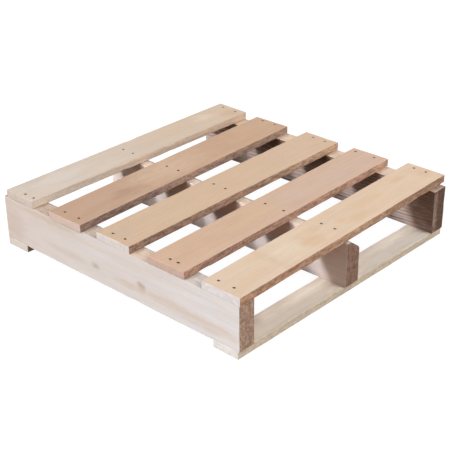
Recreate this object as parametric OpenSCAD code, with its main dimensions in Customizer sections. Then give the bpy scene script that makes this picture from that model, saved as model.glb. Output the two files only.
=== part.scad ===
// Two-way stringer pallet, 24 inches square, in sawn softwood and hardwood, nailed by hand.
//
// Five deck boards lie across three stringers, and a bottom board runs under each end of the
// stringers. X runs along the deck boards, Y along the stringers from the front to the rear,
// and Z is up. The origin is the centre of the footprint, on the floor. Sizes are millimetres
// and angles are degrees. A positive skew turns a piece anticlockwise as seen from above.

/* [Deck boards] */
// Length of a deck board
deck_l = 610; // [590:1:620]
// Thickness of a deck board
deck_t = 16; // [12:0.5:20]
// Depth of the whole deck, from the front edge to the rear edge
deck_depth = 608; // [590:1:612]
// Width of the front deck board
front_deck_w = 87; // [80:1:92]
// Width of the second deck board
second_deck_w = 87; // [80:1:92]
// Width of the middle deck board
middle_deck_w = 87; // [80:1:92]
// Width of the fourth deck board
fourth_deck_w = 88; // [80:1:92]
// Width of the rear deck board
rear_deck_w = 80; // [76:1:92]
// Skew of the second deck board
second_deck_skew = 0.7; // [-0.9:0.05:0.9]
// Skew of the fourth deck board
fourth_deck_skew = 0.9; // [-0.9:0.05:0.9]
// Skew of the rear deck board
rear_deck_skew = -0.75; // [-0.9:0.05:0.9]
// How far the fourth deck board overhangs the left stringer
fourth_deck_slide = 4; // [0:0.5:6]
// How far the right end of the front deck board has sprung up
front_deck_lift = 6.5; // [0:0.5:8]

/* [Stringers] */
// Length of a stringer
stringer_l = 619; // [600:1:630]
// Thickness of a stringer
stringer_w = 38; // [34:0.5:42]
// Height of a stringer
stringer_h = 92; // [84:0.5:100]
// Gap from the left end of the deck to the outer face of the left stringer
left_inset = 0.5; // [0:0.5:4]
// Gap from the right end of the deck to the outer face of the right stringer
right_inset = 3; // [0:0.5:4]
// How far the middle stringer stands to the left of the centre
middle_slide = 3; // [0:0.5:5]
// Skew of the middle stringer
middle_skew = 0.75; // [0:0.05:1]
// Width of the wane, the missing bark edge, along the top right edge of the middle stringer
wane_w = 14; // [6:1:16]
// Width of the wane where it spreads, at the front end
wane_front_w = 28; // [18:1:30]

/* [Bottom boards] */
// Length of a bottom board
bottom_l = 606; // [600:1:610]
// Width of a bottom board
bottom_w = 58; // [50:1:64]
// Thickness of a bottom board
bottom_t = 15; // [12:0.5:19]
// Skew of the front bottom board
front_bottom_skew = -0.8; // [-0.8:0.05:0.8]

/* [Nails] */
// Length of a nail
nail_l = 57; // [45:1:57]
// Diameter of a nail's shank
nail_d = 2.8; // [2.5:0.1:3.5]
// Diameter of a nail's head
nail_head_d = 5.6; // [5:0.1:7]
// How far a nail's head is sunk below the face of its board
nail_sink = 0.4; // [0.2:0.1:1.2]

/* [Hidden] */
$fn = 32;
FRONT = 0;
REAR = 1;
LEFT = 0;
MIDDLE = 1;
RIGHT = 2;
deck_names = ["front", "second", "middle", "fourth", "rear"];
end_names = ["front", "rear"];
side_names = ["left", "middle", "right"];
function deck_board_name(b) = str(deck_names[b], "_deck_board");
function deck_nails_name(b, s) = str(deck_names[b], "_deck_nails_", side_names[s]);
function bottom_nails_name(e, s) = str(end_names[e], "_bottom_nails_", side_names[s]);
function stringer_name(s) = str(side_names[s], "_stringer");
function bottom_board_name(e) = str(end_names[e], "_bottom_board");
decks = [0 : len(deck_names) - 1];
sides = [LEFT : RIGHT];
ends = [FRONT, REAR];

// Deck boards, front to rear, with equal gaps between them
deck_w = [front_deck_w, second_deck_w, middle_deck_w, fourth_deck_w, rear_deck_w];
deck_skew = [0, second_deck_skew, 0, fourth_deck_skew, rear_deck_skew];
deck_slide = [0, 0, 0, fourth_deck_slide, 0];
deck_lift = [front_deck_lift, 0, 0, 0, 0];
deck_tone = ["#E3CBB0", "#D8B49A", "#D8BA9C", "#CDA486", "#D6C7B4"];
function sum_before(values, n) = n == 0 ? 0 : values[n - 1] + sum_before(values, n - 1);
deck_count = len(deck_w);
deck_gap = (deck_depth - sum_before(deck_w, deck_count)) / (deck_count - 1);
deck_front_y = -307.5;
function deck_y(b) = deck_front_y + sum_before(deck_w, b) + b * deck_gap + deck_w[b] / 2;
deck_z = bottom_t + stringer_h;

// Stringers, left to right: the plan position of each one's centre
stringer_x = [
    -deck_l / 2 + left_inset + stringer_w / 2,
    -middle_slide,
    deck_l / 2 - right_inset - stringer_w / 2
];
stringer_y = [4, -2, -4];
stringer_skew = [0, middle_skew, 0];
stringer_tone = ["#DDCFC4", "#A98E7E", "#A08474"];
wane_slope = 0.75;
wane_front_run = 110;

// Bottom boards, front and rear
bottom_x = -1.5;
bottom_y = [-278, 284.5];
bottom_skew = [front_bottom_skew, 0];

// Nails. At each crossing one nail is in front of its board's centre line and one behind it
nail_head_t = 1.2;
nail_tip = 4;
deck_nail_offsets = [
    [[-13, 22], [-15, 16], [-8, 20]],
    [[-13, 6], [-27, 18], [-17, 29]],
    [[-17, 15], [-13, 18], [-18, 14]],
    [[-21, 18], [-18, 14], [-15, 19]],
    [[-28, -3], [-16, 14], [-19, 19]]
];
// Each row of deck nails runs this far to the right of its stringer's centre line
deck_nail_shift = [-3, -14.5, 9];
// The left row also drifts outwards towards the rear, by this much from its middle
left_nail_drift = 4;
bottom_nail_offset = 15;

// Moves its children from a deck board's own frame, which has its origin at the middle of the
// left end, on the underside, and X along the board
module on_deck_board(b) {
    translate([-deck_slide[b], deck_y(b), deck_z])
        rotate([0, 0, deck_skew[b]])
        translate([-deck_l / 2, 0, 0])
        rotate([0, -asin(deck_lift[b] / deck_l), 0])
        children();
}

// Moves its children from a stringer's own frame, at the middle of its underside
module on_stringer(s) {
    translate([stringer_x[s], stringer_y[s], bottom_t])
        rotate([0, 0, stringer_skew[s]])
        children();
}

// Moves its children from a bottom board's own frame, at the middle of its underside
module on_bottom_board(e) {
    translate([bottom_x, bottom_y[e], 0])
        rotate([0, 0, bottom_skew[e]])
        children();
}

// Plan position, along X, of the deck nails at stringer s on a board whose centre line is at y
function deck_nail_x(s, y) =
    stringer_x[s] - y * tan(stringer_skew[s]) + deck_nail_shift[s]
    - (s == LEFT ? left_nail_drift * y / (deck_depth / 2) : 0);

// Plan position, along X, of the bottom nails at stringer s on a board whose centre line is at y
function bottom_nail_x(s, y) = stringer_x[s] - y * tan(stringer_skew[s]);

// One nail, point down, with the top of its head at the origin
module nail() {
    r = nail_d / 2;
    head_r = nail_head_d / 2;
    rotate_extrude()
        polygon([
            [0, 0], [head_r, 0], [head_r, -nail_head_t], [r, -nail_head_t],
            [r, nail_tip - nail_l], [0, -nail_l]
        ]);
}

// The space that a sunk nail takes up, with the open dimple above its head
module nail_space() {
    nail();
    cylinder(d = nail_head_d, h = 2 * nail_sink);
}

// Puts its children at both nails that hold deck board b to stringer s
module at_deck_nails(b, s) {
    on_deck_board(b)
        for (offset = deck_nail_offsets[b][s])
            translate([
                deck_l / 2 + deck_slide[b] + deck_nail_x(s, deck_y(b)), offset, deck_t - nail_sink
            ])
            children();
}

// Puts its children at both nails that hold bottom board e to stringer s, driven from below
module at_bottom_nails(e, s) {
    on_bottom_board(e)
        for (offset = [-bottom_nail_offset, bottom_nail_offset])
            translate([bottom_nail_x(s, bottom_y[e]) - bottom_x, offset, nail_sink])
            rotate([180, 0, 0])
            children();
}

// A prism that cuts a wane of the given width off a long edge, which lies along Y at the origin
module wane(width) {
    height = width * wane_slope;
    rotate([90, 0, 0])
        linear_extrude(height = 2 * stringer_l, center = true)
        polygon([[-2 * width, height], [width, -2 * height], [width, height]]);
}

module sawn_stringer(s) {
    on_stringer(s)
        translate([-stringer_w / 2, -stringer_l / 2, 0])
        cube([stringer_w, stringer_l, stringer_h]);
}

module stringer_wane() {
    on_stringer(MIDDLE) {
        translate([stringer_w / 2, 0, stringer_h])
            wane(wane_w);
        translate([stringer_w / 2, -stringer_l / 2, stringer_h])
            rotate([0, 0, -atan((wane_front_w - wane_w) / wane_front_run)])
            wane(wane_front_w);
    }
}

module stringer(s) {
    color(stringer_tone[s])
        difference() {
            sawn_stringer(s);
            if (s == MIDDLE) stringer_wane();
            for (b = decks) at_deck_nails(b, s) nail();
            for (e = ends) at_bottom_nails(e, s) nail();
        }
}

module deck_board(b) {
    color(deck_tone[b])
        difference() {
            on_deck_board(b)
                translate([0, -deck_w[b] / 2, 0])
                cube([deck_l, deck_w[b], deck_t]);
            for (s = sides) at_deck_nails(b, s) nail_space();
        }
}

module bottom_board(e) {
    color("#D0BFAE")
        difference() {
            on_bottom_board(e)
                translate([-bottom_l / 2, -bottom_w / 2, 0])
                cube([bottom_l, bottom_w, bottom_t]);
            for (s = sides) at_bottom_nails(e, s) nail_space();
        }
}

module deck_nails(b, s) {
    color("#6A6058") at_deck_nails(b, s) nail();
}

module bottom_nails(e, s) {
    color("#6A6058") at_bottom_nails(e, s) nail();
}

for (s = sides) {
    stringer(s);
}
for (b = decks) {
    deck_board(b);
}
for (e = ends) {
    bottom_board(e);
}
for (b = decks, s = sides) {
    deck_nails(b, s);
}
for (e = ends, s = sides) {
    bottom_nails(e, s);
}
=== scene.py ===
"""The looks of a small stringer pallet in rough sawn wood, built round its CAD frame.

Every board and stringer is a detailed mesh with softened, chipped edges and real nail holes,
made in its own axes: X along the grain, Y across it and Z up. Its wood is a solid procedural
texture in those axes, so the figure on the faces, edges and ends belongs to one piece of timber.
"""

import math
from dataclasses import dataclass

import bmesh
import bpy
import numpy as np
from mathutils import Matrix, Vector, noise


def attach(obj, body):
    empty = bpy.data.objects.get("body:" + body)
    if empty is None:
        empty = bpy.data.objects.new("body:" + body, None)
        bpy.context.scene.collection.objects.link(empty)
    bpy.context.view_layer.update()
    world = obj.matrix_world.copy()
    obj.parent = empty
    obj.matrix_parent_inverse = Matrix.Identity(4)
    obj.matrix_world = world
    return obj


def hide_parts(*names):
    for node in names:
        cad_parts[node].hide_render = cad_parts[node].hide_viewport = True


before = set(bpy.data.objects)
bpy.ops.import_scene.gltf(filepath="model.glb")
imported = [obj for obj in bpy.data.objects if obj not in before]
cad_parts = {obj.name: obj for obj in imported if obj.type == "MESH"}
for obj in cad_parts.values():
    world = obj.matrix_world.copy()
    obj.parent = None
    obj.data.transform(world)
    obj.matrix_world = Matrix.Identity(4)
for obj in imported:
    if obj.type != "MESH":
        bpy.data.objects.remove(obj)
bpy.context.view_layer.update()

BODY = "root"
MM = 0.001

ROWS = ["front", "second", "middle", "fourth", "rear"]
ENDS = ["front", "rear"]
SIDES = ["left", "middle", "right"]

# Boards and stringers: the spacing of the mesh, and the softness of the sawn edges
MESH_STEP = 6 * MM
CROSS_STEP = 5 * MM
EDGE_SOFTNESS = 0.9 * MM
EDGE_SOFTEST = 3.2 * MM
EDGE_CUTS = [0, 0.12, 0.3, 0.6, 1]
EDGE_UNEVENNESS = 0.7
EDGE_GRAIN = 45
CHIP_GRAIN = 23
CHIP_DEPTH = 7 * MM
CHIP_RARITY = 0.38
FACE_RIPPLE = 0.18 * MM
RIPPLE_GRAIN = (14, 40, 40)
CREASE_ANGLE = math.radians(38)

# Wane on the middle stringer: the bark edge that runs along its top right side
WANE_WIDTH = 14 * MM
WANE_FRONT_WIDTH = 28 * MM
WANE_FRONT_RUN = 110 * MM
WANE_SLOPE = 0.75
WANE_BULGE = 0.02
WANE_ROUGHNESS = 1.2 * MM
WANE_GRAIN = 30
WANE_SKIN = 0.02

# Nails
NAIL_RADIUS = 1.4 * MM
NAIL_HEAD_RADIUS = 2.8 * MM
NAIL_HEAD_THICKNESS = 1.2 * MM
NAIL_TIP = 4 * MM
NAIL_SIDES = 24
NAIL_RIM = 0.35 * MM
NAIL_GRIPS = 4
NAIL_FIRST_GRIP = 3 * MM
NAIL_GRIP_PITCH = 1.4 * MM
HOLE_PLAY = 0.02 * MM
CRUSHED_RADIUS = 3.1 * MM
CRUSHED_RISE = 2 * MM

# How closely the CAD solids are read
MERGE_DISTANCE = 0.01 * MM
SQUARE_EDGE = math.radians(80)
NAIL_END_BAND = 0.2 * MM
SAME_PLACE = 1e-7


def rgb(code):
    """A colour as the shader wants it, from its usual six-digit form."""
    channels = [int(code[i:i + 2], 16) / 255 for i in (0, 2, 4)]
    linear = [c / 12.92 if c <= 0.04045 else ((c + 0.055) / 1.055) ** 2.4 for c in channels]
    return (*linear, 1.0)


# ---------------------------------------------------------------- places, from the CAD frame


def node_points(node):
    return np.array([v.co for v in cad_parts[node].data.vertices])


def grain_direction(node):
    """The direction of the longest square edge of a board's CAD solid."""
    mesh = bmesh.new()
    mesh.from_mesh(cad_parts[node].data)
    bmesh.ops.remove_doubles(mesh, verts=mesh.verts, dist=MERGE_DISTANCE)
    square = [e for e in mesh.edges if e.is_manifold and e.calc_face_angle() > SQUARE_EDGE]
    longest = max(square, key=lambda e: e.calc_length())
    along = (longest.verts[1].co - longest.verts[0].co).normalized()
    mesh.free()
    return along if along.x + along.y > 0 else -along


def own_axes(node):
    """The matrix from a board's own axes to the frame, with its origin at the board's centre,
    and the board's size."""
    along = grain_direction(node)
    across = Vector((0, 0, 1)).cross(along).normalized()
    axes = np.array([along, across, along.cross(across)])
    inside = node_points(node) @ axes.T
    low, high = inside.min(0), inside.max(0)
    matrix = Matrix(axes.T.tolist()).to_4x4()
    matrix.translation = Vector(axes.T @ ((low + high) / 2))
    return matrix, Vector(high - low)


def nail_lines(node):
    """For each of the two nails of a CAD node, the centre of its head's top and its point."""
    points = node_points(node)
    middle = (points[:, 1].min() + points[:, 1].max()) / 2
    lines = []
    for nail in (points[points[:, 1] < middle], points[points[:, 1] > middle]):
        heights = nail[:, 2]
        low = nail[heights < heights.min() + NAIL_END_BAND]
        high = nail[heights > heights.max() - NAIL_END_BAND]
        tip, head = sorted((low, high), key=lambda end: np.ptp(end[:, 0]))
        lines.append((Vector((head.min(0) + head.max(0)) / 2), Vector(tip.mean(0))))
    return lines


# ---------------------------------------------------------------- meshes


def new_piece(name, mesh_data, matrix, material, node):
    """Puts a finished mesh in the scene as a piece that stands for a CAD node."""
    piece = bpy.data.objects.new(name, mesh_data)
    bpy.context.scene.collection.objects.link(piece)
    piece.matrix_world = matrix
    piece.data.materials.append(material)
    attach(piece, BODY)
    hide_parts(node)


def cuts(length, step):
    """Where the mesh is cut along one side of a box: evenly, and closely next to its edges."""
    inner = length / 2 - EDGE_SOFTEST
    count = max(1, round(2 * inner / step))
    even = [-inner + 2 * inner * i / count for i in range(1, count)]
    edge = [length / 2 - EDGE_SOFTEST * c for c in EDGE_CUTS]
    return sorted([-e for e in edge] + even + edge)


def box_grid(size):
    """A closed box of fine square faces, centred on the origin."""
    lines = [cuts(size.x, MESH_STEP), cuts(size.y, CROSS_STEP), cuts(size.z, CROSS_STEP)]
    last = [len(line) - 1 for line in lines]
    mesh = bmesh.new()
    made = {}

    def corner(index):
        if index not in made:
            made[index] = mesh.verts.new([line[i] for line, i in zip(lines, index)])
        return made[index]

    for axis in range(3):
        u, v = (axis + 1) % 3, (axis + 2) % 3
        for end in (0, last[axis]):
            for i in range(last[u]):
                for j in range(last[v]):
                    ring = []
                    for di, dj in ((0, 0), (1, 0), (1, 1), (0, 1)):
                        index = [0, 0, 0]
                        index[axis], index[u], index[v] = end, i + di, j + dj
                        ring.append(corner(tuple(index)))
                    mesh.faces.new(ring if end else ring[::-1])
    return mesh


def softness(point):
    """The radius of the softened edge near a point: uneven, with a chip here and there."""
    uneven = EDGE_SOFTNESS * (1 + EDGE_UNEVENNESS * noise.noise(point * EDGE_GRAIN))
    chip = CHIP_DEPTH * max(0, noise.noise(point * CHIP_GRAIN) - CHIP_RARITY)
    return min(uneven + chip, EDGE_SOFTEST)


def soften(point, half, seed):
    """Moves a point on a box's surface onto the box with rounded edges."""
    radius = softness(point + seed)
    core = Vector(max(-h + radius, min(h - radius, p)) for p, h in zip(point, half))
    out = point - core
    return core + out.normalized() * radius


def wane_width(x, half):
    """How wide the bark edge is at x, with its spread at the front end."""
    spread = WANE_FRONT_WIDTH - (x + half.x) * (WANE_FRONT_WIDTH - WANE_WIDTH) / WANE_FRONT_RUN
    uneven = WANE_ROUGHNESS * noise.noise(Vector((x * WANE_GRAIN, 0, 0)))
    return max(WANE_WIDTH, spread) + uneven


def wane_shift(point, half):
    """How far the bark edge draws a point in from the top right edge, and how much bark
    there is on it."""
    width = wane_width(point.x, half)
    height = width * WANE_SLOPE
    a = (point.y + half.y) / width
    b = (half.z - point.z) / height
    reach = max(a, b)
    if reach >= 1:
        return Vector(), 0.0
    shift = (1 - reach) / 2 - WANE_BULGE * (1 - reach * reach)
    on_surface = min(a, b) < WANE_SKIN or abs(point.x) < half.x - EDGE_SOFTEST
    return Vector((0, shift * width, -shift * height)), float(on_surface)


def on_side(vertex, axis, half):
    """Whether a point of the box grid is on one of the two sides across this axis."""
    return abs(abs(vertex.co[axis]) - half[axis]) < SAME_PLACE


def board_mesh(name, size, seed, wane):
    """A sawn board or stringer with soft, uneven edges and slightly rippled faces."""
    half = size / 2
    mesh = box_grid(size)
    bark = mesh.verts.layers.float.new("bark")
    for vertex in mesh.verts:
        point = soften(vertex.co, half, seed)
        if wane:
            shift, vertex[bark] = wane_shift(point, half)
            point = point + shift
        spot = Vector(p * grain for p, grain in zip(point, RIPPLE_GRAIN)) + seed
        ripple = FACE_RIPPLE * (0.5 + 0.5 * noise.noise(spot))
        for axis in range(3):
            if on_side(vertex, axis, half):
                point[axis] -= math.copysign(ripple, point[axis])
        vertex.co = point
    data = bpy.data.meshes.new(name)
    mesh.to_mesh(data)
    mesh.free()
    return data


def lathe(mesh, profile, matrix):
    """Turns a profile of (radius, height) about Z into a closed solid. It starts and ends on
    the axis."""
    turn = 2 * math.pi / NAIL_SIDES
    rings = []
    for radius, height in profile:
        angles = [turn * i for i in range(NAIL_SIDES if radius else 1)]
        spots = [Vector((radius * math.cos(a), radius * math.sin(a), height)) for a in angles]
        rings.append([mesh.verts.new(matrix @ spot) for spot in spots])
    for upper, lower in zip(rings, rings[1:]):
        for i in range(NAIL_SIDES):
            j = (i + 1) % NAIL_SIDES
            down = [upper[i % len(upper)], lower[i % len(lower)]]
            up = [lower[j % len(lower)], upper[j % len(upper)]]
            corners = down + up
            mesh.faces.new(sorted(set(corners), key=corners.index))


def nail_matrix(head, tip):
    """The matrix of a nail's own axes: its origin is on top of its head, and it points down."""
    turn = (head - tip).to_track_quat("Z", "Y")
    return Matrix.Translation(head) @ turn.to_matrix().to_4x4()


def nail_profile(length):
    """A bright wire nail: a flat head with a worn rim, grips under it, and a point."""
    head, rim, neck = NAIL_HEAD_RADIUS, NAIL_RIM, NAIL_RADIUS
    profile = [(0, 0), (0.55 * head, -0.02 * MM), (head - rim, -0.1 * MM), (head - 0.2 * rim, -rim)]
    profile += [(head, -0.6 * NAIL_HEAD_THICKNESS), (head - rim, -NAIL_HEAD_THICKNESS)]
    profile += [(neck + rim, -NAIL_HEAD_THICKNESS - 0.1 * MM), (neck, -NAIL_HEAD_THICKNESS - rim)]
    for grip in range(NAIL_GRIPS):
        depth = -NAIL_FIRST_GRIP - NAIL_GRIP_PITCH * grip
        profile += [(neck, depth), (0.86 * neck, depth - 0.35 * MM), (neck, depth - 0.7 * MM)]
    profile += [(neck, NAIL_TIP - length), (0.45 * neck, 0.35 * NAIL_TIP - length), (0, -length)]
    return profile


def hole_profile(length):
    """The hole that a nail makes, with crushed wood round its sunk head."""
    shelf = -NAIL_HEAD_THICKNESS - HOLE_PLAY
    return [
        (0, CRUSHED_RISE),
        (CRUSHED_RADIUS + 0.3 * CRUSHED_RISE, CRUSHED_RISE),
        (NAIL_HEAD_RADIUS + 0.15 * MM, -0.3 * NAIL_HEAD_THICKNESS),
        (NAIL_HEAD_RADIUS + 0.05 * MM, shelf),
        (NAIL_RADIUS + HOLE_PLAY, shelf),
        (NAIL_RADIUS + HOLE_PLAY, NAIL_TIP - length),
        (0, -length - HOLE_PLAY),
    ]


def drill(data, matrix, nail_nodes):
    """The board's mesh with a hole for every nail of these CAD nodes."""
    cutters = bmesh.new()
    inverse = matrix.inverted()
    for node in nail_nodes:
        for head, tip in nail_lines(node):
            lathe(cutters, hole_profile((head - tip).length), inverse @ nail_matrix(head, tip))
    bmesh.ops.recalc_face_normals(cutters, faces=cutters.faces)
    cutter_data = bpy.data.meshes.new("nail_holes")
    cutters.to_mesh(cutter_data)
    cutters.free()
    board = bpy.data.objects.new("undrilled", data)
    cutter = bpy.data.objects.new("nail_holes", cutter_data)
    for each in (board, cutter):
        bpy.context.scene.collection.objects.link(each)
    holes = board.modifiers.new("holes", "BOOLEAN")
    holes.operation = "DIFFERENCE"
    holes.solver = "EXACT"
    holes.object = cutter
    graph = bpy.context.evaluated_depsgraph_get()
    drilled = bpy.data.meshes.new_from_object(board.evaluated_get(graph))
    drilled.name = data.name
    for each in (board, cutter):
        bpy.data.objects.remove(each)
    for spent in (data, cutter_data):
        bpy.data.meshes.remove(spent)
    return drilled


def shade(data):
    """Smooth shading, with a crease wherever the surface turns sharply."""
    data.shade_smooth()
    data.set_sharp_from_angle(angle=CREASE_ANGLE)


# ---------------------------------------------------------------- materials

# How many waves of each noise go into a metre: along the grain, across it and up
WARP_WAVES = (2.5, 9, 9)
RAGGED_WAVES = (35, 90, 90)
DRIFT_WAVES = (5, 11, 11)
STREAK_WAVES = (2.2, 34, 34)
BLOTCH_WAVES = (13, 24, 24)
PORE_WAVES = (90, 1100, 1100)
FIBRE_WAVES = (12, 300, 300)
TORN_WAVES = (55, 230, 230)
SPECKLE_WAVES = (190, 210, 190)
GRIT_WAVES = (120, 150, 110)
SAW_WAVES = (330, 12, 12)
RUST_WAVES = (420, 420, 420)
PIT_WAVES = (1500, 1500, 1500)

# From which value of its noise to which each detail comes in
STREAK_SPAN = (0.42, 0.68)
BLOTCH_SPAN = (0.42, 0.72)
PORE_SPAN = (0.66, 0.76)
FIBRE_SPAN = (0.3, 0.7)
COARSE_SPAN = (0.36, 0.64)
RUST_SPAN = (0.4, 0.6)
NOISE_ROUGHNESS = 0.55
NOISE_MIDDLE = (0.5, 0.5, 0.5)

# The wood: where along a piece its colour drifts, in metres, and how its details are mixed
FACE_DRIFT = (-0.15, 0.45)
FACE_DRIFT_UNEVENNESS = 0.3
EDGE_DRIFT = (-0.28, 0.28)
LATE_WOOD_START = 0.15
LATE_WOOD_PEAK = 0.85
FAINTEST_RING = 0.35
FACING = (0.6, 0.8)
PATCH_FADE = (0.2, 1.15)
PATCH_RAGGEDNESS = (1.5, 1.5, 1.5)
PORE_COLOUR = "7A5A48"
PORE_STRENGTH = 0.2
BARK_COLOUR = "7D6152"
BARK_STRENGTH = 0.8
TORN_SHARE = 0.55
SPECKLE_SHARE = 0.45
EDGE_RINGS = 0.2
WOOD_ROUGHNESS = (0.62, 0.8)
WOOD_SPECULAR = 0.3
FIBRE_RELIEF = 0.35
SAW_RELIEF = 0.18
RING_RELIEF = 0.12
COARSE_RELIEF = 0.6
WOOD_BUMP = 0.35 * MM
WOOD_BUMP_STRENGTH = 0.6

# The nails: each pair of values is for bare wire and for rust
WIRE_COLOURS = ("4A413B", "3A2419")
WIRE_ROUGHNESS = (0.42, 0.85)
WIRE_METALLIC = (0.75, 0.1)
WIRE_BUMP = 0.1 * MM
WIRE_BUMP_STRENGTH = 0.5


class Graph:
    """Builds a material's node tree, mostly by calls that make nodes and return an output."""

    def __init__(self, name):
        self.material = bpy.data.materials.new(name)
        self.material.use_nodes = True
        self.tree = self.material.node_tree
        self.tree.nodes.clear()

    def node(self, kind, inputs, **settings):
        """Makes a node. Each input is a value or the output of another node."""
        made = self.tree.nodes.new("ShaderNode" + kind)
        for name, value in settings.items():
            setattr(made, name, value)
        for key, value in inputs.items():
            if isinstance(value, bpy.types.NodeSocket):
                self.tree.links.new(value, made.inputs[key])
            else:
                made.inputs[key].default_value = value
        return made

    def math(self, operation, a, b=0.0):
        return self.node("Math", {0: a, 1: b}, operation=operation).outputs[0]

    def vector(self, operation, a, b, output="Vector"):
        return self.node("VectorMath", {0: a, 1: b}, operation=operation).outputs[output]

    def textured(self, place, waves, detail, roughness):
        scaled = self.vector("MULTIPLY", place, waves)
        inputs = {"Vector": scaled, "Scale": 1.0, "Detail": detail, "Roughness": roughness}
        return self.node("TexNoise", inputs)

    def noise(self, place, waves, detail=3.0, roughness=NOISE_ROUGHNESS):
        return self.textured(place, waves, detail, roughness).outputs[0]

    def noise_vector(self, place, waves, detail=2.0):
        """Three noises at once, as a vector about zero."""
        colour = self.textured(place, waves, detail, NOISE_ROUGHNESS).outputs["Color"]
        return self.vector("SUBTRACT", colour, NOISE_MIDDLE)

    def step(self, value, low, high, start=0.0, end=1.0):
        """A smooth step from start to end while the value goes from low to high."""
        inputs = {0: value, 1: low, 2: high, 3: start, 4: end}
        return self.node("MapRange", inputs, interpolation_type="SMOOTHSTEP").outputs[0]

    def mix(self, factor, a, b, blend="MIX"):
        inputs = {0: factor, 6: a, 7: b}
        return self.node("Mix", inputs, data_type="RGBA", blend_type=blend).outputs[2]

    def tint(self, colour, mask, strength, code, blend="MIX"):
        """Another colour laid over the first one where the mask is."""
        return self.mix(self.math("MULTIPLY", mask, strength), colour, rgb(code), blend)

    def vary(self, colour, value, low, high, darkest, lightest):
        """The colour made darker or lighter as the value goes from low to high."""
        change = self.step(value, low, high, darkest, lightest)
        return self.mix(1.0, colour, change, blend="MULTIPLY")

    def finish(self, shader):
        self.tree.links.new(shader.outputs[0], self.node("OutputMaterial", {}).inputs[0])
        return self.material


@dataclass
class Patch:
    """A soft-edged area of another colour. Its place and size are in the piece's own axes."""

    place: tuple
    size: tuple
    colour: str
    strength: float


@dataclass
class Wood:
    """How one piece of timber looks. Lengths are metres, in the piece's own axes. The face and
    edge colours drift from one end of the piece to the other."""

    face: tuple
    late: str
    edge: tuple
    end: str
    streak: str
    blotch: str
    edge_axis: str = "Y"
    ring: float = 0.0045
    pith: tuple = (0.01, -0.07)
    lean: float = 0.02
    wander: float = 0.012
    rings: float = 0.15
    end_rings: float = 0.12
    streaks: float = 0.3
    blotches: float = 0.35
    fibres: float = 0.05
    edge_change: float = 0.5
    grit: float = 0.07
    patches: tuple = ()
    edge_patches: tuple = ()
    end_patches: tuple = ()
    seed: float = 0.0


def ring_lines(g, wood, place, moved):
    """Growth rings about the pith, from 0 in the early wood to 1 in the late wood."""
    warp = g.noise_vector(moved, WARP_WAVES)
    pushed = g.vector("ADD", place, g.vector("MULTIPLY", warp, (0, wood.wander, wood.wander)))
    across = g.vector("MULTIPLY", pushed, (0, 1, 1))
    radius = g.vector("DISTANCE", across, (0, *wood.pith), output="Value")
    along = g.node("SeparateXYZ", {0: place}).outputs[0]
    leaning = g.math("ADD", radius, g.math("MULTIPLY", along, wood.lean))
    counted = g.math("DIVIDE", leaning, wood.ring)
    phase = g.math("FRACT", counted)
    year = g.node("CombineXYZ", {0: g.math("FLOOR", counted), 1: wood.seed}).outputs[0]
    chance = g.node("TexWhiteNoise", {"Vector": year}).outputs["Value"]
    strength = g.step(chance, 0, 1, FAINTEST_RING, 1)
    rising = g.step(phase, LATE_WOOD_START, LATE_WOOD_PEAK)
    falling = g.step(phase, LATE_WOOD_PEAK, 1.0, 1.0, 0.0)
    return g.math("MULTIPLY", g.math("MULTIPLY", rising, falling), strength)


def face_masks(g, wood):
    """Where the piece shows its end grain, and where it shows its narrow sawn edges."""
    normal = g.node("TexCoord", {}).outputs["Normal"]
    parts = g.node("SeparateXYZ", {0: normal})
    end = g.step(g.math("ABSOLUTE", parts.outputs["X"]), *FACING)
    edge = g.step(g.math("ABSOLUTE", parts.outputs[wood.edge_axis]), *FACING)
    return end, edge


def add_patches(g, colour, patches, place, moved):
    """Paints patches over a colour. Each fades out at a ragged border."""
    if not patches:
        return colour
    wobble = g.noise_vector(moved, RAGGED_WAVES, detail=3.0)
    ragged = g.vector("MULTIPLY", wobble, PATCH_RAGGEDNESS)
    for patch in patches:
        offset = g.vector("DIVIDE", g.vector("SUBTRACT", place, patch.place), patch.size)
        reach = g.vector("DISTANCE", offset, ragged, output="Value")
        cover = g.step(reach, *PATCH_FADE, patch.strength, 0.0)
        colour = g.mix(cover, colour, rgb(patch.colour))
    return colour


def face_colour(g, wood, place, moved, late, fibre):
    """The broad sawn faces: smooth, with faint rings, long streaks, soft mottles and pores, and
    patches, some of wood tone and some of painted light and shade.
    """
    uneven = g.noise(moved, DRIFT_WAVES)
    along = g.node("SeparateXYZ", {0: place}).outputs[0]
    uneven = g.math("MULTIPLY", uneven, FACE_DRIFT_UNEVENNESS)
    drift = g.step(g.math("ADD", along, uneven), *FACE_DRIFT)
    streak = g.step(g.noise(moved, STREAK_WAVES), *STREAK_SPAN)
    blotch = g.step(g.noise(moved, BLOTCH_WAVES, roughness=0.65), *BLOTCH_SPAN)
    pore = g.step(g.noise(moved, PORE_WAVES, detail=1.0), *PORE_SPAN)
    colour = g.mix(drift, rgb(wood.face[0]), rgb(wood.face[1]))
    colour = g.tint(colour, late, wood.rings, wood.late)
    colour = g.tint(colour, streak, wood.streaks, wood.streak)
    colour = g.tint(colour, blotch, wood.blotches, wood.blotch)
    colour = add_patches(g, colour, wood.patches, place, moved)
    colour = g.vary(colour, fibre, *FIBRE_SPAN, 1 - wood.fibres, 1 + 0.5 * wood.fibres)
    return g.tint(colour, pore, PORE_STRENGTH, PORE_COLOUR)


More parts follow.
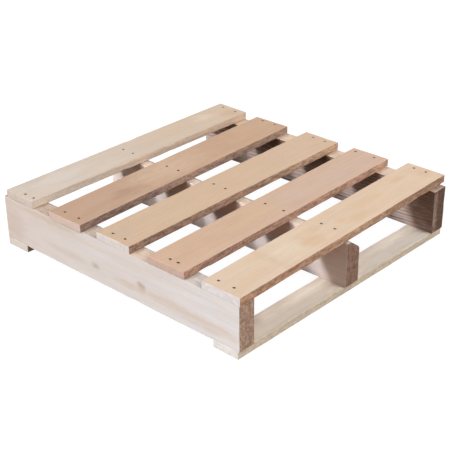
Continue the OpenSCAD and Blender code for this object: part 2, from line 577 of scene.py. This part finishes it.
def edge_colour(g, wood, place, moved, late, torn, speckle):
    """The narrow sawn edges: torn fibres, lighter and darker."""
    along = g.node("SeparateXYZ", {0: place}).outputs[0]
    colour = g.mix(g.step(along, *EDGE_DRIFT), rgb(wood.edge[0]), rgb(wood.edge[1]))
    colour = add_patches(g, colour, wood.edge_patches, place, moved)
    torn = g.math("MULTIPLY", torn, TORN_SHARE)
    mixed = g.math("ADD", torn, g.math("MULTIPLY", speckle, SPECKLE_SHARE))
    lightest = 1 + 0.6 * wood.edge_change
    colour = g.vary(colour, mixed, *COARSE_SPAN, 1 - wood.edge_change, lightest)
    return g.tint(colour, late, EDGE_RINGS, wood.late, blend="MULTIPLY")


def end_colour(g, wood, place, moved, late):
    """The cross-cut ends: growth rings and crushed, gritty fibres."""
    grit = g.noise(moved, GRIT_WAVES, detail=4.0, roughness=0.85)
    colour = g.tint(rgb(wood.end), late, wood.end_rings, wood.late, blend="MULTIPLY")
    colour = add_patches(g, colour, wood.end_patches, place, moved)
    return g.vary(colour, grit, *COARSE_SPAN, 1 - wood.grit, 1 + 0.7 * wood.grit)


def wood_bump(g, fibre, saw, late, coarse):
    """The relief of the wood: its fibres, saw marks, rings and coarse edges and ends."""
    height = g.math("MULTIPLY", fibre, FIBRE_RELIEF)
    height = g.math("ADD", height, g.math("MULTIPLY", saw, SAW_RELIEF))
    height = g.math("ADD", height, g.math("MULTIPLY", late, RING_RELIEF))
    height = g.math("ADD", height, g.math("MULTIPLY", coarse, COARSE_RELIEF))
    inputs = {"Height": height, "Strength": WOOD_BUMP_STRENGTH, "Distance": WOOD_BUMP}
    return g.node("Bump", inputs).outputs[0]


def wood_material(name, wood):
    """Bare sawn wood: its faces, edges, ends and bark, with the relief of its fibres."""
    g = Graph(name)
    place = g.node("TexCoord", {}).outputs["Object"]
    moved = g.vector("ADD", place, (wood.seed, 1.7 * wood.seed, 0.6 * wood.seed))
    late = ring_lines(g, wood, place, moved)
    end, edge = face_masks(g, wood)
    fibre = g.noise(moved, FIBRE_WAVES, detail=4.0, roughness=0.6)
    torn = g.noise(moved, TORN_WAVES, detail=4.0, roughness=0.65)
    speckle = g.noise(moved, SPECKLE_WAVES, detail=4.0, roughness=0.8)
    saw = g.noise(moved, SAW_WAVES)

    colour = face_colour(g, wood, place, moved, late, fibre)
    colour = g.mix(edge, colour, edge_colour(g, wood, place, moved, late, torn, speckle))
    colour = g.mix(end, colour, end_colour(g, wood, place, moved, late))
    bark = g.node("Attribute", {}, attribute_name="bark").outputs["Fac"]
    colour = g.tint(colour, bark, BARK_STRENGTH, BARK_COLOUR)

    coarse = g.math("MULTIPLY", g.math("ADD", torn, speckle), g.math("MAXIMUM", end, edge))
    bump = wood_bump(g, fibre, saw, late, coarse)
    rough = g.step(fibre, *FIBRE_SPAN, *WOOD_ROUGHNESS)
    shader = g.node("BsdfPrincipled", {"Base Color": colour, "Roughness": rough, "Normal": bump})
    shader.inputs["Specular IOR Level"].default_value = WOOD_SPECULAR
    return g.finish(shader)


def nail_material():
    """Bright wire gone dull, with brown rust in blotches."""
    g = Graph("nail_steel")
    place = g.node("TexCoord", {}).outputs["Object"]
    rust = g.step(g.noise(place, RUST_WAVES, detail=4.0, roughness=0.7), *RUST_SPAN)
    colour = g.mix(rust, *[rgb(code) for code in WIRE_COLOURS])
    rough = g.step(rust, 0.0, 1.0, *WIRE_ROUGHNESS)
    metal = g.step(rust, 0.0, 1.0, *WIRE_METALLIC)
    pits = g.noise(place, PIT_WAVES, detail=3.0)
    relief = {"Height": pits, "Strength": WIRE_BUMP_STRENGTH, "Distance": WIRE_BUMP}
    bump = g.node("Bump", relief).outputs[0]
    inputs = {"Base Color": colour, "Roughness": rough, "Metallic": metal, "Normal": bump}
    return g.finish(g.node("BsdfPrincipled", inputs))


# ---------------------------------------------------------------- the pallet

# Patches of colour. Most are the wood's own tone, placed as they are in the photograph; those of
# the middle and right stringers are painted shade, and those of the front bottom board are painted
# light and shade. On a board, own X runs from its left end to its right one, and own Y from its
# front edge to its rear one. On a stringer, own X runs from the front to the rear, and own Y is
# positive on its left face.
FRONT_PATCHES = (
    Patch((-0.228, -0.012, 0), (0.065, 0.018, 0.1), "C9A98B", 0.48),
    Patch((-0.175, 0.01, 0), (0.014, 0.06, 0.1), "C0A689", 0.4),
    Patch((-0.13, 0.0, 0), (0.05, 0.04, 0.1), "D1C0AA", 0.56),
    Patch((-0.078, -0.012, 0), (0.03, 0.03, 0.1), "C5A280", 0.55),
    Patch((-0.042, 0.012, 0), (0.03, 0.012, 0.1), "C6A382", 0.4),
    Patch((0.018, -0.002, 0), (0.022, 0.012, 0.1), "C99C7F", 0.44),
    Patch((0.055, -0.02, 0), (0.045, 0.016, 0.1), "C5A480", 0.48),
    Patch((0.115, 0.008, 0), (0.07, 0.02, 0.1), "C6A682", 0.44),
    Patch((0.225, 0.016, 0), (0.03, 0.012, 0.1), "C39D7D", 0.4),
    Patch((0.285, -0.008, 0), (0.025, 0.02, 0.1), "C4A283", 0.48),
)
SECOND_PATCHES = (
    Patch((-0.075, 0.0, 0), (0.09, 0.03, 0.1), "C4A787", 0.42),
    Patch((-0.105, 0.02, 0), (0.05, 0.018, 0.1), "B89880", 0.42),
    Patch((0.05, 0.0, 0), (0.07, 0.035, 0.1), "BFA699", 0.49),
    Patch((0.17, -0.01, 0), (0.09, 0.035, 0.1), "BEA598", 0.42),
    Patch((0.02, -0.03, 0), (0.04, 0.012, 0.1), "B49B8D", 0.35),
)
MIDDLE_PATCHES = (
    Patch((-0.272, 0.008, 0), (0.03, 0.035, 0.1), "B8A497", 0.45),
    Patch((0.2, 0.01, 0), (0.1, 0.03, 0.1), "C2A897", 0.26),
    Patch((0.02, -0.02, 0), (0.12, 0.02, 0.1), "C0A386", 0.26),
)
FOURTH_PATCHES = (
    Patch((-0.15, -0.008, 0), (0.05, 0.024, 0.1), "9E7E6A", 0.6),
    Patch((-0.24, -0.015, 0), (0.07, 0.015, 0.1), "AA8973", 0.38),
    Patch((-0.02, 0.01, 0), (0.12, 0.05, 0.1), "C2A891", 0.6),
    Patch((0.17, -0.025, 0), (0.09, 0.016, 0.1), "AF8F75", 0.38),
)
REAR_PATCHES = (
    Patch((-0.2, 0.01, 0), (0.1, 0.03, 0.1), "CBC0B8", 0.49),
    Patch((-0.25, 0.03, 0), (0.05, 0.012, 0.1), "B9ACA2", 0.42),
    Patch((-0.09, -0.015, 0), (0.05, 0.02, 0.1), "C8BAAC", 0.35),
    Patch((0.1, -0.005, 0), (0.1, 0.03, 0.1), "C0A993", 0.42),
    Patch((0.215, 0.012, 0), (0.035, 0.02, 0.1), "CFBFAC", 0.56),
    Patch((0.275, -0.015, 0), (0.03, 0.022, 0.1), "BA997D", 0.49),
)
FRONT_EDGE_PATCHES = (Patch((0.0, -0.0435, 0), (0.13, 0.03, 0.1), "C8A48A", 0.8),)
MIDDLE_EDGE_PATCHES = (Patch((0.0, -0.0435, 0), (0.11, 0.03, 0.1), "A48570", 0.8),)
FOURTH_EDGE_PATCHES = (Patch((0.01, -0.044, 0), (0.12, 0.03, 0.1), "B89785", 0.8),)
DECK_WOODS = {
    "front": Wood(
        face=("CBB5A0", "CBB39C"), late="C0A07F", edge=("B69077", "AA8871"), end="DAD4D4",
        streak="CDB8A2", blotch="C8A88B", ring=0.012, pith=(0.004, -0.035), lean=0.03,
        patches=FRONT_PATCHES, edge_patches=FRONT_EDGE_PATCHES, seed=3.1,
    ),
    "second": Wood(
        face=("C1A28A", "C0A491"), late="B28D75", edge=("AC8774", "CAA28B"), end="C4A899",
        streak="C2A795", blotch="BB9B83", ring=0.006, pith=(-0.02, -0.05), lean=0.015,
        rings=0.1, patches=SECOND_PATCHES, seed=5.7,
    ),
    "middle": Wood(
        face=("C1A68D", "C2A78F"), late="B5957B", edge=("9F806F", "C7A489"), end="D5CCC8",
        streak="C3A994", blotch="BDA082", ring=0.007, pith=(0.03, -0.09), lean=0.01,
        rings=0.08, streaks=0.2, patches=MIDDLE_PATCHES, edge_patches=MIDDLE_EDGE_PATCHES,
        seed=8.3,
    ),
    "fourth": Wood(
        face=("B3947E", "B99A81"), late="9E7D68", edge=("94796D", "A98B7A"), end="CDB7AB",
        streak="B89B85", blotch="AC8B74", ring=0.006, pith=(-0.012, -0.045), lean=0.02,
        rings=0.12, patches=FOURTH_PATCHES, edge_patches=FOURTH_EDGE_PATCHES, seed=11.9,
    ),
    "rear": Wood(
        face=("C4B7AB", "C2AC97"), late="B19E86", edge=("DDCBBA", "DABEA6"), end="CCBDB2",
        streak="BAAC9E", blotch="C4AF9E", ring=0.005, pith=(0.05, -0.03), lean=0.008,
        rings=0.25, streaks=0.5, edge_change=0.15, patches=REAR_PATCHES, seed=14.2,
    ),
}
LEFT_STRINGER_TOP_PATCHES = (Patch((-0.068, 0, 0.046), (0.04, 0.05, 0.03), "D8BDA6", 0.7),)
LEFT_STRINGER_PATCHES = (
    Patch((0.047, 0.019, -0.013), (0.016, 0.05, 0.009), "927A6C", 0.45),
    Patch((0.12, 0.019, -0.016), (0.08, 0.05, 0.009), "CABBB2", 0.6),
    Patch((-0.075, 0.019, -0.01), (0.013, 0.05, 0.012), "A68570", 0.6),
    Patch((-0.045, 0.019, -0.02), (0.05, 0.05, 0.011), "C8B4A3", 0.5),
    Patch((-0.15, 0.019, -0.016), (0.1, 0.05, 0.014), "CAB5A3", 0.5),
    Patch((-0.25, 0.019, -0.024), (0.1, 0.05, 0.013), "CAB5A3", 0.45),
    Patch((0.2, 0.019, 0.036), (0.13, 0.05, 0.009), "C6B2A1", 0.6),
    Patch((0.29, 0.019, -0.01), (0.05, 0.05, 0.05), "C6B3A5", 0.6),
)
# Painted shade: warm, browner tones over the upper half of the left face, which lies in the deck's
# shade, and over the front of that face. A thin pale strip keeps them off the rounded top edge.
MIDDLE_STRINGER_PAINTED_SHADE = (
    Patch((0.04, 0.019, 0.046), (0.6, 0.012, 0.045), "E3B39C", 0.75),
    Patch((-0.04, 0.019, 0.036), (0.22, 0.012, 0.036), "FFD6C2", 0.85),
    Patch((0, 0.019, 0.046), (0.6, 0.009, 0.006), "E6DAD0", 1.0),
    Patch((-0.32, 0.019, 0.02), (0.09, 0.05, 0.12), "F3D3C2", 0.45),
)
# Painted shade: dark brown over the upper half of the left face, which lies under the deck, and
# over the front of that face.
RIGHT_STRINGER_PAINTED_SHADE = (
    Patch((0.06, 0.019, 0.042), (0.45, 0.012, 0.034), "744E30", 0.8),
    Patch((-0.32, 0.019, 0.02), (0.09, 0.05, 0.12), "7D5C4C", 0.8),
)
RIGHT_STRINGER_END_PATCHES = (
    Patch((-0.31, 0.014, 0.002), (0.03, 0.011, 0.07), "A28C7D", 0.75),
)
STRINGER_WOODS = {
    "left": Wood(
        face=("D8D4D4", "D2C7C1"), late="CAB9AB", edge=("C8BFB9", "B7A290"), end="AB8F7D",
        streak="CFC2B7", blotch="D8CCC5", edge_axis="Z", ring=0.012, pith=(-0.06, -0.02),
        streaks=0.45, blotches=0.4, edge_change=0.2, grit=0.45, patches=LEFT_STRINGER_PATCHES,
        edge_patches=LEFT_STRINGER_TOP_PATCHES, seed=17.3,
    ),
    "middle": Wood(
        face=("EEE2DF", "EBDDD8"), late="B4948A", edge=("D8C5B4", "D3BEAC"), end="8E7162",
        streak="DCC8BF", blotch="E2D0C7", edge_axis="Z", ring=0.0045, pith=(0.03, -0.16),
        lean=0.012, wander=0.02, rings=0.4, edge_change=0.2, grit=0.4,
        patches=MIDDLE_STRINGER_PAINTED_SHADE, seed=21.6,
    ),
    "right": Wood(
        face=("CAB5AE", "C2ABA2"), late="472D22", edge=("D2BBA6", "D2BBA6"), end="674F42",
        streak="AD948A", blotch="C9B4AB", edge_axis="Z", ring=0.0075, pith=(0.015, -0.1),
        lean=0.05, wander=0.045, rings=0.8, edge_change=0.2, grit=0.35,
        patches=RIGHT_STRINGER_PAINTED_SHADE, end_patches=RIGHT_STRINGER_END_PATCHES, seed=24.8,
    ),
}
BOTTOM_ENDS = {"front": "DCD8D3", "rear": "D5CAC0"}
# Painted light and shade on the front bottom board's top: paler wood over its front half, where the
# deck's shade falls, and darker wood along its rear edge, which is lit through the deck.
BOTTOM_PAINTED_LIGHT_AND_SHADE = {
    "front": (
        Patch((0, -0.007, 0.0075), (0.8, 0.02, 0.05), "FBEEE0", 0.85),
        Patch((0.16, -0.008, 0.0075), (0.16, 0.018, 0.05), "FFF6EC", 0.6),
        Patch((0, 0.027, 0.0075), (0.8, 0.015, 0.05), "DFD0C1", 0.8),
    ),
    "rear": (),
}
BOTTOM_WOODS = {
    end: Wood(
        face=("F1E3D3", "EFE7DA"), late="CDB89E", edge=("D6C6B2", "D6C6B2"),
        end=BOTTOM_ENDS[end], streak="E6D5C3", blotch="E0CBB5", ring=0.009,
        pith=(0.02, -0.06), lean=0.015, edge_change=0.25, end_rings=0.08, grit=0.08,
        patches=BOTTOM_PAINTED_LIGHT_AND_SHADE[end], seed=27.5 + 3 * number,
    )
    for number, end in enumerate(ENDS)
}
STRINGER_SLOTS = {
    "left": "stringer_wood",
    "middle": "stringer_wood_brown",
    "right": "stringer_wood_brown",
}


def nails_along(side):
    """The CAD nodes of the nails in one stringer."""
    deck_nails = [f"{row}_deck_nails_{side}" for row in ROWS]
    return deck_nails + [f"{end}_bottom_nails_{side}" for end in ENDS]


def make_timber(node, wood, nail_nodes, wane=False):
    """Makes one board or stringer, with its nail holes."""
    matrix, size = own_axes(node)
    seed = Vector((wood.seed, -wood.seed, 0.5 * wood.seed))
    undrilled = board_mesh(node + "_timber", size, seed, wane)
    data = drill(undrilled, matrix, nail_nodes)
    shade(data)
    material = wood_material(node + "_wood", wood)
    new_piece(node + "_timber", data, matrix, material, node)


def make_nails(node, material):
    """Makes the two nails of a crossing, as one piece."""
    mesh = bmesh.new()
    for head, tip in nail_lines(node):
        lathe(mesh, nail_profile((head - tip).length), nail_matrix(head, tip))
    bmesh.ops.recalc_face_normals(mesh, faces=mesh.faces)
    data = bpy.data.meshes.new(node + "_wire")
    mesh.to_mesh(data)
    mesh.free()
    shade(data)
    new_piece(node + "_wire", data, Matrix.Identity(4), material, node)


for row in ROWS:
    nails = [f"{row}_deck_nails_{side}" for side in SIDES]
    make_timber(f"{row}_deck_board", DECK_WOODS[row], nails)
for end in ENDS:
    nails = [f"{end}_bottom_nails_{side}" for side in SIDES]
    make_timber(f"{end}_bottom_board", BOTTOM_WOODS[end], nails)
for side in SIDES:
    wood, slot = STRINGER_WOODS[side], STRINGER_SLOTS[side]
    make_timber(f"{side}_stringer", wood, nails_along(side), wane=side == "middle")
steel = nail_material()
for side in SIDES:
    for node in nails_along(side):
        make_nails(node, steel)

# ---------------------------------------------------------------- floor, light and camera

FLOOR_RADIUS = 30.0
FLOOR_SIDES = 64
FLOOR_DROP = 0.3 * MM
FLOOR_COLOUR = (0.08, 0.08, 0.08)
FLOOR_GLOW = 0.97
BOUNCE_COLOUR = (0.22, 0.16, 0.12)

# Each key light's direction of travel and strength. The first three cast one shadow edge on the
# stringers' inner faces, because they share a slope in Y and Z.
KEY_LIGHTS = [
    ((0.7, -0.55, -1.0), 0.94),
    ((1.6, -0.55, -1.0), 0.94),
    ((2.8, -0.55, -1.0), 0.94),
    ((1.6, -0.15, -1.0), 0.65),
]
KEY_SPREAD = 8
KEY_COLOUR = (0.95, 0.975, 1.0)
TOP_TRAVEL = (0.1, 0.15, -1.0)
TOP_STRENGTH = 0.65
TOP_SPREAD = 60
FILL_TRAVEL = (-0.3, 1.0, -0.7)
FILL_STRENGTH = 2.25
FILL_SPREAD = 50
FILL_COLOUR = (0.98, 0.98, 0.97)
SKY_COLOUR = (1.0, 0.95, 0.9)
SKY_ZENITH = 0.15
SKY_HORIZON = 0.6
SKY_FADE_LOW = 0.02
SKY_FADE_HIGH = 0.4

CAMERA_AZIMUTH = -47.367
CAMERA_ELEVATION = 27.868
CAMERA_ROLL = -0.592
CAMERA_PLACE = (-1.4634, -1.3424, 1.0804)
CAMERA_LENS = 89.47


def make_floor(name, drop, colour, glow):
    """A round pale floor that glows by this much, to stay pale in the shade."""
    mesh = bmesh.new()
    bmesh.ops.create_circle(mesh, cap_ends=True, radius=FLOOR_RADIUS, segments=FLOOR_SIDES)
    data = bpy.data.meshes.new(name)
    mesh.to_mesh(data)
    mesh.free()
    g = Graph(name)
    inputs = {"Base Color": (*colour, 1), "Roughness": 1.0, "Emission Color": (1, 1, 1, 1)}
    shader = g.node("BsdfPrincipled", inputs)
    shader.inputs["Emission Strength"].default_value = glow
    shader.inputs["Specular IOR Level"].default_value = 0.0
    data.materials.append(g.finish(shader))
    floor = bpy.data.objects.new(name, data)
    bpy.context.scene.collection.objects.link(floor)
    floor.location.z = -drop
    return floor


def make_light(name, travel, strength, spread, colour):
    """A sun. Its spread, in degrees, softens its shadows."""
    light = bpy.data.lights.new(name, "SUN")
    light.energy = strength
    light.angle = math.radians(spread)
    light.color = colour
    placed = bpy.data.objects.new(name, light)
    bpy.context.scene.collection.objects.link(placed)
    placed.rotation_euler = Vector(travel).to_track_quat("-Z", "Y").to_euler()


def make_room():
    """A slightly warm room, brightest low down."""
    world = bpy.data.worlds.new("room")
    bpy.context.scene.world = world
    world.use_nodes = True
    nodes, links = world.node_tree.nodes, world.node_tree.links
    nodes.clear()
    direction = nodes.new("ShaderNodeTexCoord")
    height = nodes.new("ShaderNodeSeparateXYZ")
    fade = nodes.new("ShaderNodeMapRange")
    fade.interpolation_type = "SMOOTHSTEP"
    fade.inputs["From Min"].default_value = SKY_FADE_LOW
    fade.inputs["From Max"].default_value = SKY_FADE_HIGH
    fade.inputs["To Min"].default_value = SKY_HORIZON
    fade.inputs["To Max"].default_value = SKY_ZENITH
    room = nodes.new("ShaderNodeBackground")
    room.inputs["Color"].default_value = (*SKY_COLOUR, 1)
    out = nodes.new("ShaderNodeOutputWorld")
    links.new(direction.outputs["Generated"], height.inputs[0])
    links.new(height.outputs["Z"], fade.inputs["Value"])
    links.new(fade.outputs[0], room.inputs["Strength"])
    links.new(room.outputs[0], out.inputs[0])


def make_camera():
    """The photograph's camera, fitted to the corners of the pallet."""
    azimuth, elevation = math.radians(CAMERA_AZIMUTH), math.radians(CAMERA_ELEVATION)
    level = math.cos(elevation)
    back = Vector((math.sin(azimuth) * level, -math.cos(azimuth) * level, math.sin(elevation)))
    right = (-back).cross(Vector((0, 0, 1))).normalized()
    upright = Matrix((right, back.cross(right), back)).transposed()
    camera_data = bpy.data.cameras.new("camera")
    camera_data.lens = CAMERA_LENS
    camera = bpy.data.objects.new("camera", camera_data)
    bpy.context.scene.collection.objects.link(camera)
    turn = upright.to_4x4() @ Matrix.Rotation(math.radians(CAMERA_ROLL), 4, "Z")
    camera.matrix_world = Matrix.Translation(Vector(CAMERA_PLACE)) @ turn
    bpy.context.scene.camera = camera


# The floor that the camera sees glows. The other one only throws light up at the pallet.
seen_floor = make_floor("floor", FLOOR_DROP, FLOOR_COLOUR, FLOOR_GLOW)
seen_floor.visible_diffuse = False
seen_floor.visible_glossy = False
seen_floor.visible_shadow = False
bounce_floor = make_floor("bounce_floor", 2 * FLOOR_DROP, BOUNCE_COLOUR, 0.0)
bounce_floor.visible_camera = False
for number, (travel, strength) in enumerate(KEY_LIGHTS):
    make_light(f"key_light_{number}", travel, strength, KEY_SPREAD, KEY_COLOUR)
make_light("top_light", TOP_TRAVEL, TOP_STRENGTH, TOP_SPREAD, KEY_COLOUR)
make_light("fill_light", FILL_TRAVEL, FILL_STRENGTH, FILL_SPREAD, FILL_COLOUR)
make_room()
make_camera()
bpy.context.scene.view_settings.view_transform = "Standard"

bpy.context.view_layer.update()
